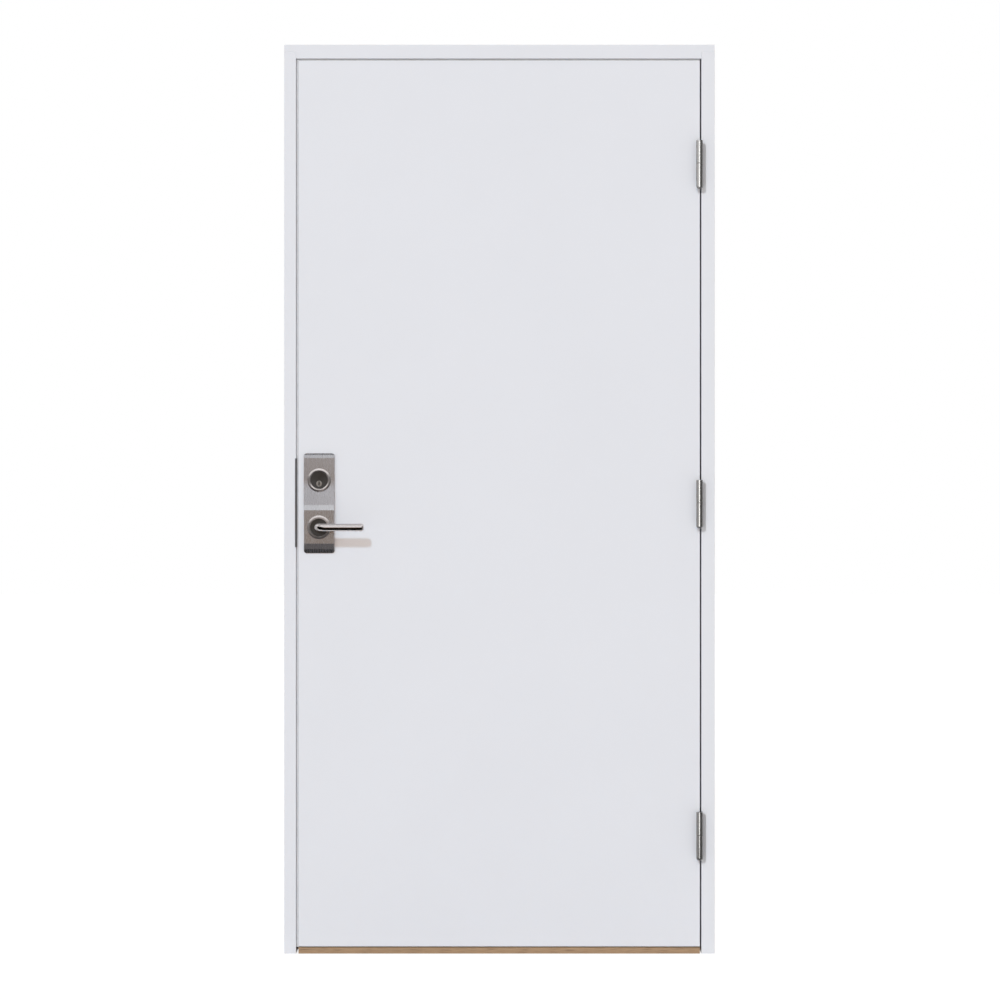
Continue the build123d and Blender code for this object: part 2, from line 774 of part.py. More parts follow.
def dish(face_y, axis_z, outward, bore_radius, bore_drop=0.0):
    """A hollowed disc that fills a ring, with a bore at its middle or below it."""
    rim_radius = ring_bore - dish_clearance
    rise = outward[1]
    with BuildPart() as disc:
        with BuildSketch(Plane.XY.offset(axis_z).shift_origin((lock_x, face_y, axis_z))):
            with BuildLine():
                Polyline(
                    (0, 0),
                    (rim_radius, 0),
                    (rim_radius, rise * dish_rim),
                    (rim_radius - dish_depth, rise * dish_rim),
                    (0, rise * (dish_rim - dish_depth)),
                    close=True,
                )
            make_face()
        revolve(axis=Axis((lock_x, face_y, axis_z), INWARD))
        with Locations(Plane((lock_x, face_y, axis_z - bore_drop), z_dir=INWARD)):
            Hole(bore_radius)
    return disc.part


write(fitting_ring(upper_face_y, cylinder_height, ring_height, OUTWARD), "cylinder_ring")
write(dish(upper_face_y, cylinder_height, OUTWARD, guard_hole_radius, plug_drop), "cylinder_guard")
write(fitting_ring(lower_face_y, handle_height, ring_height, OUTWARD), "handle_ring")
write(dish(lower_face_y, handle_height, OUTWARD, neck_bore), "handle_bearing")

# Lock cylinder: an oval housing behind the guard and a plug that the key turns

plug_face_y = upper_face_y - plug_proud
housing_back_y = leaf_middle_y + case_thickness / 2

with BuildPart() as lock_cylinder:
    with BuildSketch(Plane.XZ.offset(-housing_back_y)):
        with Locations((lock_x, cylinder_height)):
            SlotOverall(cylinder_length, cylinder_width, rotation=90)
        with Locations((lock_x, plug_height)):
            Circle(plug_radius + plug_clearance, mode=Mode.SUBTRACT)
    extrude(amount=housing_back_y - upper_face_y)
write(lock_cylinder.part, "lock_cylinder")

with BuildPart() as key_plug:
    with BuildSketch(Plane.XZ.offset(-housing_back_y)):
        with Locations((lock_x, plug_height)):
            Circle(plug_radius)
    extrude(amount=housing_back_y - plug_face_y)
    with BuildSketch(Plane.XZ.offset(-plug_face_y)):
        with Locations((lock_x, plug_height)):
            Rectangle(keyway_width, keyway_height)
    extrude(amount=-keyway_depth, mode=Mode.SUBTRACT)
    chamfer(key_plug.faces().sort_by(Axis.Y)[0].inner_wires()[0].edges(), keyway_lead)
write(key_plug.part, "key_plug")


# Levers on a square spindle that passes through the lock


def lever(start_y, grip_y, outward):
    """A round bar bent from its neck into the grip, with a square socket and a hole for its grub screw."""
    neck_plane = Plane((lock_x, start_y, handle_height), z_dir=outward)
    socket_width = spindle_width + 2 * spindle_clearance
    with BuildPart() as bar:
        with BuildLine():
            FilletPolyline(
                (lock_x, start_y, handle_height),
                (lock_x, grip_y, handle_height),
                (lock_x + lever_length, grip_y, handle_height),
                radius=lever_bend,
            )
        with BuildSketch(neck_plane):
            Circle(lever_radius)
        sweep()
        fillet(bar.faces().sort_by(Axis.X)[-1].edges(), lever_end_round)
        with BuildSketch(neck_plane):
            Rectangle(socket_width, socket_width)
        extrude(amount=spindle_reach + spindle_clearance, mode=Mode.SUBTRACT)
        under_neck = (lock_x, start_y + outward[1] * grub_hole_place, handle_height - lever_radius)
        with Locations(Plane(under_neck, z_dir=(0, 0, -1))):
            Hole(grub_hole_radius, depth=lever_radius - socket_width / 2)
    return bar.part


write(lever(lower_face_y, front - lever_standoff, OUTWARD), "outside_lever")
write(lever(inside_face_y, leaf_back + lever_standoff, INWARD), "inside_lever")

half_spindle = spindle_width / 2
with BuildPart() as spindle:
    slab(
        (lock_x - half_spindle, lock_x + half_spindle),
        (lower_face_y - spindle_reach, inside_face_y + spindle_reach),
        (handle_height - half_spindle, handle_height + half_spindle),
    )
write(spindle.part, "spindle")

# Inside plate with its handle ring and thumb turn

with BuildPart() as inside_plate:
    with BuildSketch(Plane.XZ.offset(-leaf_back)):
        with Locations((lock_x, plate_bottom + plate_height / 2)):
            RectangleRounded(plate_width, plate_height, plate_corner)
        with Locations((lock_x, handle_height), (lock_x, cylinder_height)):
            Circle(plate_hole_radius, mode=Mode.SUBTRACT)
    extrude(amount=-inside_plate_thickness)
    chamfer(inside_plate.faces().sort_by(Axis.Y)[-1].outer_wire().edges(), inside_plate_bevel)
    screw_reach = plate_height / 2 - inside_screw_end
    plate_middle = (lock_x, inside_face_y, plate_bottom + plate_height / 2)
    with Locations(*screw_seats(plate_middle, screw_reach, INWARD)):
        CounterSinkHole(screw_radius, screw_head_radius)
write(inside_plate.part, "inside_plate")

write(fitting_ring(inside_face_y, handle_height, inside_ring_height, INWARD), "inside_handle_ring")
write(dish(inside_face_y, handle_height, INWARD, neck_bore), "inside_handle_bearing")
write(fitting_ring(inside_face_y, cylinder_height, inside_ring_height, INWARD), "thumb_turn_ring")

turn_base_y = inside_face_y + dish_rim
with BuildPart() as thumb_turn:
    with BuildSketch(Plane.XZ.offset(-inside_face_y)):
        with Locations((lock_x, cylinder_height)):
            Circle(ring_bore - dish_clearance)
    extrude(amount=-dish_rim)
    with BuildSketch(Plane.XZ.offset(-turn_base_y)):
        with Locations((lock_x, cylinder_height)):
            Circle(turn_base_radius)
    extrude(amount=-turn_base_height)
    with BuildSketch(Plane.XZ.offset(-turn_base_y)):
        with Locations((lock_x, cylinder_height)):
            SlotOverall(turn_wing_length, turn_wing_width, rotation=90)
    extrude(amount=-turn_base_height - turn_wing_height)
    fillet(thumb_turn.faces().sort_by(Axis.Y)[-1].edges(), turn_round)
write(thumb_turn.part, "thumb_turn")
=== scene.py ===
"""Looks for the apartment entrance door: painted woodwork, an oak threshold, steel furniture and its screws."""

import math

import bpy
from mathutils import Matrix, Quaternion, Vector


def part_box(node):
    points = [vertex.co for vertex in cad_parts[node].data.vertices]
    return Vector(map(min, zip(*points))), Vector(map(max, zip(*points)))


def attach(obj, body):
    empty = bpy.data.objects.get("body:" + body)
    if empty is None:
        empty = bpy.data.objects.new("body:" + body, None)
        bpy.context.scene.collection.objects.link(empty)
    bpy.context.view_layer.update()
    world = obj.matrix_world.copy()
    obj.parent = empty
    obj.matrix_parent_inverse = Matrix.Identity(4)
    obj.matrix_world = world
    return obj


bl_info = {
    "name": "Entrance Door Looks",
    "version": (1, 0, 0),
    "blender": (4, 5, 0),
    "location": "View3D > Sidebar > Entrance Door",
    "description": "Finishes the entrance door's pieces, fits its screws and lights it on a pale floor",
    "category": "Object",
}

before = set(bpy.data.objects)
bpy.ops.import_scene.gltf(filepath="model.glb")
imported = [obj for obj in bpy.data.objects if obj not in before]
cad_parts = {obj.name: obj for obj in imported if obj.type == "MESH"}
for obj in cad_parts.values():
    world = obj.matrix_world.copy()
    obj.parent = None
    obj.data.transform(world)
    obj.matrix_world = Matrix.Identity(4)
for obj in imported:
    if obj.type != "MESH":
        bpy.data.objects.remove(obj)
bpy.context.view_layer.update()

# Groups of pieces

PAINTED_FRAME = ("hinge_jamb", "lock_jamb", "head")
PAINTED_LEAF = (
    "leaf_front_skin",
    "leaf_back_skin",
    "leaf_lock_stile",
    "leaf_hinge_stile",
    "leaf_top_rail",
    "leaf_bottom_rail",
)
SEALS = ("seal_head", "seal_hinge_jamb", "seal_lock_jamb", "seal_threshold", "leaf_edge_seal")
HINGE_PLACES = ("bottom", "middle", "top")
HINGE_HALVES = tuple(f"hinge_{place}_{half}_half" for place in HINGE_PLACES for half in ("frame", "leaf"))
HINGE_PINS = tuple(f"hinge_{place}_pin" for place in HINGE_PLACES)
LOCK_WORKS = ("lock_case", "latch_bolt", "dead_bolt", "lock_cylinder", "spindle")
PLATES = ("outside_plate", "inside_plate")
HANDLE_RINGS = ("handle_ring", "inside_handle_ring")
CYLINDER_RINGS = ("cylinder_ring", "thumb_turn_ring")
HANDLE_DISCS = ("handle_bearing", "inside_handle_bearing")
LEVERS = ("outside_lever", "inside_lever")
OUTSIDE_FURNITURE = (
    "outside_plate",
    "cylinder_ring",
    "cylinder_guard",
    "handle_ring",
    "handle_bearing",
    "outside_lever",
)


def middle_of(node):
    """The middle of a CAD piece's box."""
    low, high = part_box(node)
    return (low + high) / 2


# Places of the screws in metres, as the plates are bored
FLAG_THICKNESS = 0.0022
FLAG_SCREWS = ((-0.029, 0.014), (-0.035, 0.0525), (-0.029, 0.091))  # depth, and drop below the hinge's top
STRIKE_SCREW_END = 0.016
FOREND_SCREW_END = 0.0115
PLATE_SCREW_END = 0.015
GRUB_PLACE = 0.013

handle_middle = middle_of("handle_ring")
cylinder_middle = middle_of("cylinder_ring")
plug_middle = middle_of("key_plug")
leaf_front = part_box("leaf_front_skin")[0].y

# Sizes and colours that a user may change


class DoorFinishes(bpy.types.PropertyGroup):
    """Colours of the door's finishes."""

    paint: bpy.props.FloatVectorProperty(
        name="Paint", description="White paint of frame and leaf", subtype="COLOR", default=(0.75, 0.757, 0.797)
    )
    oak: bpy.props.FloatVectorProperty(
        name="Oak", description="Middle tone of the varnished oak", subtype="COLOR", default=(0.395, 0.256, 0.148)
    )
    plate_steel: bpy.props.FloatVectorProperty(
        name="Plate steel", description="Grey steel of the lock plates", subtype="COLOR", default=(0.505, 0.495, 0.5)
    )
    bright_steel: bpy.props.FloatVectorProperty(
        name="Bright steel", description="Bright steel of levers and rings", subtype="COLOR",
        default=(0.68, 0.635, 0.62)
    )
    hinge_steel: bpy.props.FloatVectorProperty(
        name="Hinge steel", description="Plated steel of the hinges", subtype="COLOR", default=(0.27, 0.265, 0.26)
    )
    dark_steel: bpy.props.FloatVectorProperty(
        name="Dark steel", description="Blackened steel of the hollowed discs", subtype="COLOR",
        default=(0.095, 0.092, 0.087)
    )


class DoorScrews(bpy.types.PropertyGroup):
    """Sizes of the countersunk screws and of the levers' grub screws."""

    head_radius: bpy.props.FloatProperty(
        name="Head radius", description="Countersunk head at its rim", unit="LENGTH", default=0.004
    )
    neck_radius: bpy.props.FloatProperty(
        name="Neck radius", description="Countersunk head at its lower end", unit="LENGTH", default=0.0023
    )
    head_depth: bpy.props.FloatProperty(
        name="Head depth", description="From the head's top to its lower end", unit="LENGTH", default=0.0019
    )
    head_sink: bpy.props.FloatProperty(
        name="Head sink", description="How far the head lies under the plate's face", unit="LENGTH", default=0.00015
    )
    recess_length: bpy.props.FloatProperty(
        name="Recess length", description="Across the arms of the cross recess", unit="LENGTH", default=0.0052
    )
    recess_width: bpy.props.FloatProperty(
        name="Recess width", description="Of one arm of the cross recess", unit="LENGTH", default=0.0012
    )
    recess_depth: bpy.props.FloatProperty(
        name="Recess depth", description="Of the cross recess", unit="LENGTH", default=0.0013
    )
    grub_radius: bpy.props.FloatProperty(
        name="Grub radius", description="Of a lever's grub screw", unit="LENGTH", default=0.0024
    )
    grub_length: bpy.props.FloatProperty(
        name="Grub length", description="Of a lever's grub screw", unit="LENGTH", default=0.0036
    )
    grub_sink: bpy.props.FloatProperty(
        name="Grub sink", description="How far the grub screw lies in the neck", unit="LENGTH", default=0.001
    )
    socket_radius: bpy.props.FloatProperty(
        name="Socket radius", description="Of the grub screw's hexagon socket", unit="LENGTH", default=0.0014
    )
    socket_depth: bpy.props.FloatProperty(
        name="Socket depth", description="Of the grub screw's hexagon socket", unit="LENGTH", default=0.0018
    )


class DoorStudio(bpy.types.PropertyGroup):
    """Camera and light around the door."""

    camera_distance: bpy.props.FloatProperty(
        name="Camera distance", description="From the leaf's face to the camera", unit="LENGTH", default=5.3
    )
    camera_height: bpy.props.FloatProperty(
        name="Camera height", description="Height of the camera over the floor", unit="LENGTH", default=1.043
    )
    camera_side: bpy.props.FloatProperty(
        name="Camera side", description="Camera's place along the wall", unit="LENGTH", default=0.0014
    )
    field_width: bpy.props.FloatProperty(
        name="Field width", description="Width of the picture at the leaf's face", unit="LENGTH", default=2.2995
    )
    daylight: bpy.props.FloatProperty(
        name="Daylight", description="Strength of the even light before the door", default=0.5
    )
    key_light: bpy.props.FloatProperty(
        name="Key light", description="Strength of the cool lamp high in front", default=1.0
    )
    fill_light: bpy.props.FloatProperty(
        name="Fill light", description="Strength of the warm lamp that softens the shadows", default=0.46
    )
    back_daylight: bpy.props.FloatProperty(
        name="Back daylight", description="Strength of the even light behind the door", default=0.92
    )
    jamb_light: bpy.props.FloatProperty(
        name="Jamb light", description="Strength of the lamp that throws the hinges' shadows", default=1.62
    )


# Node helpers


def new_material(name):
    """A material with an empty Principled shader, and a coordinate node to start its patterns from."""
    material = bpy.data.materials.new(name)
    material.use_nodes = True
    tree = material.node_tree
    shader = tree.nodes["Principled BSDF"]
    place = tree.nodes.new("ShaderNodeTexCoord").outputs["Object"]
    return material, tree, shader, place


def moved(tree, place, offset=(0, 0, 0), scale=(1, 1, 1)):
    """Coordinates shifted and stretched for a pattern."""
    mapping = tree.nodes.new("ShaderNodeMapping")
    mapping.inputs["Location"].default_value = [-step * factor for step, factor in zip(offset, scale)]
    mapping.inputs["Scale"].default_value = scale
    tree.links.new(place, mapping.inputs["Vector"])
    return mapping.outputs["Vector"]


def noise(tree, place, scale, detail=2.0, roughness=0.5, distortion=0.0):
    """Value of a noise pattern."""
    texture = tree.nodes.new("ShaderNodeTexNoise")
    texture.inputs["Scale"].default_value = scale
    texture.inputs["Detail"].default_value = detail
    texture.inputs["Roughness"].default_value = roughness
    texture.inputs["Distortion"].default_value = distortion
    tree.links.new(place, texture.inputs["Vector"])
    return texture.outputs["Fac"]


def turning_marks(tree, place, scale=420.0):
    """Fine circles round the Y axis, as a lathe leaves them."""
    texture = tree.nodes.new("ShaderNodeTexWave")
    texture.wave_type = "RINGS"
    texture.rings_direction = "Y"
    texture.inputs["Scale"].default_value = scale
    texture.inputs["Distortion"].default_value = 1.5
    texture.inputs["Detail"].default_value = 2.0
    tree.links.new(place, texture.inputs["Vector"])
    return texture.outputs["Fac"]


def tinted(tree, value, stops):
    """Colours along a pattern: stops are (position, colour)."""
    ramp = tree.nodes.new("ShaderNodeValToRGB")
    elements = ramp.color_ramp.elements
    while len(elements) < len(stops):
        elements.new(0.5)
    for element, (position, colour) in zip(elements, stops):
        element.position = position
        element.color = (*colour, 1.0)
    tree.links.new(value, ramp.inputs["Fac"])
    return ramp.outputs["Color"]


def ranged(tree, value, low, high):
    """The middle half of a pattern's values brought between two limits."""
    limits = tree.nodes.new("ShaderNodeMapRange")
    limits.inputs["From Min"].default_value = 0.25
    limits.inputs["From Max"].default_value = 0.75
    limits.inputs["To Min"].default_value = low
    limits.inputs["To Max"].default_value = high
    tree.links.new(value, limits.inputs["Value"])
    return limits.outputs["Result"]


def bumped(tree, shader, height, depth, strength):
    """Relief from a pattern."""
    bump = tree.nodes.new("ShaderNodeBump")
    bump.inputs["Distance"].default_value = depth
    bump.inputs["Strength"].default_value = strength
    tree.links.new(height, bump.inputs["Height"])
    tree.links.new(bump.outputs["Normal"], shader.inputs["Normal"])


def multiplied(tree, colour, shade):
    """One colour darkened by another."""
    mix = tree.nodes.new("ShaderNodeMix")
    mix.data_type = "RGBA"
    mix.blend_type = "MULTIPLY"
    mix.inputs["Factor"].default_value = 1.0
    tree.links.new(colour, mix.inputs["A"])
    tree.links.new(shade, mix.inputs["B"])
    return mix.outputs["Result"]


def shade_of(colour, factor):
    """A colour made lighter or darker."""
    return tuple(channel * factor for channel in colour)


def finish(nodes, material):
    """Gives a material to CAD pieces."""
    for node in nodes:
        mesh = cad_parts[node].data
        if not mesh.materials:
            mesh.materials.append(material)
        for index in range(len(mesh.materials)):
            mesh.materials[index] = material


# Finishes


def white_paint(name, colour, sheen):
    """Sprayed white paint: a faint orange peel, a slow drift of tone and an uneven sheen."""
    material, tree, shader, place = new_material(name)
    drift = noise(tree, place, 3.5, detail=3.0)
    tone = tinted(tree, drift, ((0.3, shade_of(colour, 0.993)), (0.7, shade_of(colour, 1.007))))
    tree.links.new(tone, shader.inputs["Base Color"])
    patches = noise(tree, place, 18.0, detail=4.0)
    tree.links.new(ranged(tree, patches, sheen - 0.04, sheen + 0.04), shader.inputs["Roughness"])
    peel = noise(tree, place, 750.0, detail=1.5)
    bumped(tree, shader, peel, depth=0.00012, strength=0.35)
    return material


def varnished_oak(colour):
    """Oak with its grain along the threshold, open pores and a clear varnish."""
    material, tree, shader, place = new_material("varnished_oak")
    along = moved(tree, place, scale=(2.2, 55.0, 85.0))
    figure = noise(tree, along, 1.0, detail=6.0, roughness=0.62, distortion=0.9)
    grain = tinted(
        tree,
        figure,
        ((0.25, shade_of(colour, 0.68)), (0.45, shade_of(colour, 0.95)), (0.62, colour), (0.8, shade_of(colour, 1.25))),
    )
    pore_place = moved(tree, place, scale=(28.0, 1500.0, 1500.0))
    pores = noise(tree, pore_place, 1.0, detail=2.0)
    pore_shade = tinted(tree, pores, ((0.34, (0.5, 0.45, 0.4)), (0.46, (1.0, 1.0, 1.0))))
    tree.links.new(multiplied(tree, grain, pore_shade), shader.inputs["Base Color"])
    tree.links.new(ranged(tree, figure, 0.36, 0.5), shader.inputs["Roughness"])
    bumped(tree, shader, pores, depth=0.0002, strength=0.4)
    shader.inputs["Coat Weight"].default_value = 0.15
    shader.inputs["Coat Roughness"].default_value = 0.3
    return material


def raw_board():
    """Chipboard of the leaf's core."""
    material, tree, shader, place = new_material("raw_board")
    chips = noise(tree, moved(tree, place, scale=(60.0, 220.0, 140.0)), 1.0, detail=5.0, roughness=0.7)
    tone = tinted(tree, chips, ((0.3, (0.33, 0.25, 0.16)), (0.5, (0.5, 0.41, 0.28)), (0.7, (0.62, 0.53, 0.4))))
    tree.links.new(tone, shader.inputs["Base Color"])
    tree.links.new(ranged(tree, chips, 0.7, 0.85), shader.inputs["Roughness"])
    bumped(tree, shader, chips, depth=0.0004, strength=0.5)
    return material


def grey_rubber():
    """Soft grey sealing strip with a dusty skin."""
    material, tree, shader, place = new_material("grey_rubber")
    dust = noise(tree, place, 90.0, detail=4.0)
    tone = tinted(tree, dust, ((0.3, (0.56, 0.56, 0.575)), (0.7, (0.63, 0.63, 0.645))))
    tree.links.new(tone, shader.inputs["Base Color"])
    tree.links.new(ranged(tree, dust, 0.6, 0.78), shader.inputs["Roughness"])
    bumped(tree, shader, noise(tree, place, 1600.0), depth=0.0001, strength=0.3)
    return material


def moulded_plastic():
    """White cover caps with a finely grained skin."""
    material, tree, shader, place = new_material("moulded_plastic")
    cloud = noise(tree, place, 120.0, detail=3.0)
    tone = tinted(tree, cloud, ((0.3, (0.74, 0.75, 0.77)), (0.7, (0.78, 0.79, 0.81))))
    tree.links.new(tone, shader.inputs["Base Color"])
    tree.links.new(ranged(tree, cloud, 0.42, 0.5), shader.inputs["Roughness"])
    bumped(tree, shader, noise(tree, place, 2500.0), depth=0.00005, strength=0.4)
    return material


def brushed_steel(name, colour, roughness, grain):
    """Steel with fine brush marks: grain stretches the pattern, small along the marks and large across them."""
    material, tree, shader, place = new_material(name)
    marks = noise(tree, moved(tree, place, scale=grain), 1.0, detail=3.0, roughness=0.6)
    clouds = noise(tree, place, 22.0, detail=3.0)
    tone = tinted(tree, marks, ((0.25, shade_of(colour, 0.93)), (0.75, shade_of(colour, 1.07))))
    wear = tinted(tree, clouds, ((0.3, (0.94, 0.94, 0.94)), (0.7, (1.0, 1.0, 1.0))))
    tree.links.new(multiplied(tree, tone, wear), shader.inputs["Base Color"])
    tree.links.new(ranged(tree, marks, roughness - 0.05, roughness + 0.06), shader.inputs["Roughness"])
    bumped(tree, shader, marks, depth=0.000008, strength=0.5)
    shader.inputs["Metallic"].default_value = 1.0
    return material


def turned_steel(name, colour, roughness, centre):
    """Steel turned on a lathe, with circles round an axis through a centre."""
    material, tree, shader, place = new_material(name)
    marks = turning_marks(tree, moved(tree, place, offset=centre))
    clouds = noise(tree, place, 160.0, detail=3.0)
    tone = tinted(tree, clouds, ((0.3, shade_of(colour, 0.93)), (0.7, shade_of(colour, 1.05))))
    tree.links.new(tone, shader.inputs["Base Color"])
    tree.links.new(ranged(tree, clouds, roughness - 0.03, roughness + 0.04), shader.inputs["Roughness"])
    bumped(tree, shader, marks, depth=0.000012, strength=0.35)
    shader.inputs["Metallic"].default_value = 1.0
    return material


# Screws

SCREW_SIDES = 36
GRUB_SIDES = 24
HEXAGON_SIDES = 6
SMOOTH_ANGLE = math.radians(35.0)
FIRST_SPIN = math.radians(17.0)  # of the recess in a row's first screw
NEXT_SPIN = math.radians(61.0)  # and from each screw to the next
FINE_GRAIN = (900.0, 900.0, 900.0)


def deselect():
    """Leaves nothing selected, so that the next tool acts on what it is given."""
    bpy.ops.object.select_all(action="DESELECT")


def edit_faces(piece, wanted):
    """Opens a piece in edit mode with the faces selected whose normal a test wants."""
    bpy.context.view_layer.objects.active = piece
    bpy.ops.object.mode_set(mode="EDIT")
    bpy.ops.mesh.select_mode(type="FACE")
    bpy.ops.mesh.select_all(action="DESELECT")
    bpy.ops.object.mode_set(mode="OBJECT")
    for face in piece.data.polygons:
        face.select = wanted(face.normal)
    bpy.ops.object.mode_set(mode="EDIT")


def faces_up(normal):
    """Whether a face looks up."""
    return normal.z > 0.9


def faces_down(normal):
    """Whether a face looks down."""
    return normal.z < -0.9


def taper_end(piece, factor):
    """Draws in the lower end of a piece that stands on the Z axis."""
    edit_faces(piece, faces_down)
    bpy.ops.transform.resize(value=(factor, factor, 1.0), center_override=(0, 0, 0))
    bpy.ops.object.mode_set(mode="OBJECT")


def soften_rim(piece, width):
    """Rounds the rim of a piece's upper end."""
    edit_faces(piece, faces_up)
    bpy.ops.mesh.bevel(offset=width, segments=2, affect="EDGES")
    bpy.ops.object.mode_set(mode="OBJECT")


def round_bar(name, sides, radius, top, length):
    """A bar on the Z axis that hangs down from a top."""
    deselect()
    bpy.ops.mesh.primitive_cylinder_add(vertices=sides, radius=radius, depth=length, location=(0, 0, top - length / 2))
    bar = bpy.context.object
    bar.name = name
    bpy.ops.object.transform_apply(location=True, rotation=True, scale=True)
    return bar


def cut_away(piece, cutter):
    """Cuts one piece's shape out of another, and removes the cutter."""
    deselect()
    bpy.context.view_layer.objects.active = piece
    modifier = piece.modifiers.new("recess", "BOOLEAN")
    modifier.operation = "DIFFERENCE"
    modifier.solver = "EXACT"
    modifier.object = cutter
    bpy.ops.object.modifier_apply(modifier=modifier.name)
    bpy.data.objects.remove(cutter)


def cross_arm(screws, turn):
    """One arm of a cross recess, wide at the head and narrow at its end."""
    deselect()
    bpy.ops.mesh.primitive_cube_add(size=1.0, location=(0, 0, -screws.head_sink))
    arm = bpy.context.object
    arm.dimensions = (screws.recess_length, screws.recess_width, 2 * screws.recess_depth)
    arm.rotation_euler.z = turn
    bpy.ops.object.transform_apply(location=True, rotation=True, scale=True)
    taper_end(arm, factor=0.45)
    return arm


def model_screw(screws):
    """A countersunk screw with a cross recess, which faces up at the origin."""
    screw = round_bar("countersunk_screw", SCREW_SIDES, screws.head_radius, -screws.head_sink, screws.head_depth)
    taper_end(screw, screws.neck_radius / screws.head_radius)
    soften_rim(screw, width=0.00025)
    for turn in (0.0, math.radians(90.0)):
        cut_away(screw, cross_arm(screws, turn))
    return screw


def model_grub_screw(screws):
    """A grub screw with a hexagon socket, which faces up at the origin."""
    grub = round_bar("grub_screw", GRUB_SIDES, screws.grub_radius, -screws.grub_sink, screws.grub_length)
    soften_rim(grub, width=0.0004)
    taper_end(grub, factor=0.7)
    cutter_length = 2 * screws.socket_depth + screws.grub_sink
    socket = round_bar("hexagon", HEXAGON_SIDES, screws.socket_radius, screws.socket_depth, cutter_length)
    taper_end(socket, factor=0.9)
    cut_away(grub, socket)
    return grub


def fit_screws(name, pattern, seats, facing, body, material):
    """Copies a screw to each seat, turned a little differently each time, and joins the copies."""
    upright = Vector(facing).to_track_quat("Z", "Y")
    copies = []
    for number, seat in enumerate(seats):
        deselect()
        pattern.select_set(True)
        bpy.context.view_layer.objects.active = pattern
        bpy.ops.object.duplicate(linked=False)
        copy = bpy.context.object
        spin = Quaternion((0, 0, 1), FIRST_SPIN + NEXT_SPIN * number)
        copy.rotation_euler = (upright @ spin).to_euler()
        copy.location = seat
        bpy.ops.object.transform_apply(location=True, rotation=True, scale=True)
        copies.append(copy)
    for copy in copies:
        copy.select_set(True)
    if len(copies) > 1:
        bpy.ops.object.join()
    piece = bpy.context.object
    piece.name = name
    bpy.ops.object.shade_smooth_by_angle(angle=SMOOTH_ANGLE)
    piece.data.materials.clear()
    piece.data.materials.append(material)
    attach(piece, body)


def screw_zinc():
    """Zinc plating of the screws, a little dull in patches."""
    return brushed_steel("screw_zinc", (0.56, 0.56, 0.55), roughness=0.3, grain=FINE_GRAIN)


class DOOR_OT_fit_hinge_screws(bpy.types.Operator):
    """Fits three countersunk screws to each hinge flag"""

    bl_idname = "entrance_door.fit_hinge_screws"
    bl_label = "Fit Hinge Screws"

    def execute(self, context):
        pattern = model_screw(context.scene.door_screws)
        material = screw_zinc()
        leaf_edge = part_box("leaf_front_skin")[1].x
        for place in HINGE_PLACES:
            frame_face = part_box(f"hinge_{place}_frame_half")[1].x - FLAG_THICKNESS
            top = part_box(f"hinge_{place}_leaf_half")[1].z
            for half, x, facing in (("frame", frame_face, (-1, 0, 0)), ("leaf", leaf_edge, (1, 0, 0))):
                seats = [(x, y, top - drop) for y, drop in FLAG_SCREWS]
                name = f"hinge_{place}_{half}_screws"
                fit_screws(name, pattern, seats, facing, half, material)
        bpy.data.objects.remove(pattern)
        return {"FINISHED"}


class DOOR_OT_fit_lock_screws(bpy.types.Operator):
    """Fits two countersunk screws to the strike, the lock's forend and the inside plate"""

    bl_idname = "entrance_door.fit_lock_screws"
    bl_label = "Fit Lock Screws"

    def execute(self, context):
        pattern = model_screw(context.scene.door_screws)
        material = screw_zinc()
        lock_y = middle_of("lock_case").y

        low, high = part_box("strike_plate")
        strike_seats = [(high.x, lock_y, z) for z in (low.z + STRIKE_SCREW_END, high.z - STRIKE_SCREW_END)]
        fit_screws("strike_screws", pattern, strike_seats, (1, 0, 0), "frame", material)

        low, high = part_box("lock_case")
        forend_seats = [(low.x, lock_y, z) for z in (low.z + FOREND_SCREW_END, high.z - FOREND_SCREW_END)]
        fit_screws("forend_screws", pattern, forend_seats, (-1, 0, 0), "leaf", material)

        low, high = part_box("inside_plate")
        plate_x = (low.x + high.x) / 2
        plate_seats = [(plate_x, high.y, z) for z in (low.z + PLATE_SCREW_END, high.z - PLATE_SCREW_END)]
        fit_screws("inside_plate_screws", pattern, plate_seats, (0, 1, 0), "leaf", material)
        bpy.data.objects.remove(pattern)
        return {"FINISHED"}


class DOOR_OT_fit_grub_screws(bpy.types.Operator):
    """Fits a grub screw under the neck of each lever"""

    bl_idname = "entrance_door.fit_grub_screws"
    bl_label = "Fit Grub Screws"

    def execute(self, context):
        pattern = model_grub_screw(context.scene.door_screws)
        material = brushed_steel("grub_black", (0.06, 0.06, 0.062), roughness=0.34, grain=FINE_GRAIN)
        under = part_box("outside_lever")[0].z
        for lever, y in (
            ("outside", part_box("outside_lever")[1].y - GRUB_PLACE),
            ("inside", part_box("inside_lever")[0].y + GRUB_PLACE),
        ):
            seats = [(handle_middle.x, y, under)]
            fit_screws(f"{lever}_grub_screw", pattern, seats, (0, 0, -1), "lever", material)
        bpy.data.objects.remove(pattern)
        return {"FINISHED"}


# Finishing steps

# How brush marks stretch along X, Y and Z: small along the marks and large across them
UPRIGHT_GRAIN = (1300.0, 24.0, 24.0)
LEVEL_GRAIN = (24.0, 1300.0, 1300.0)
ROUND_GRAIN = (40.0, 40.0, 1400.0)
PLATING_GRAIN = (500.0, 500.0, 60.0)
STRIKE_GRAIN = (900.0, 900.0, 25.0)


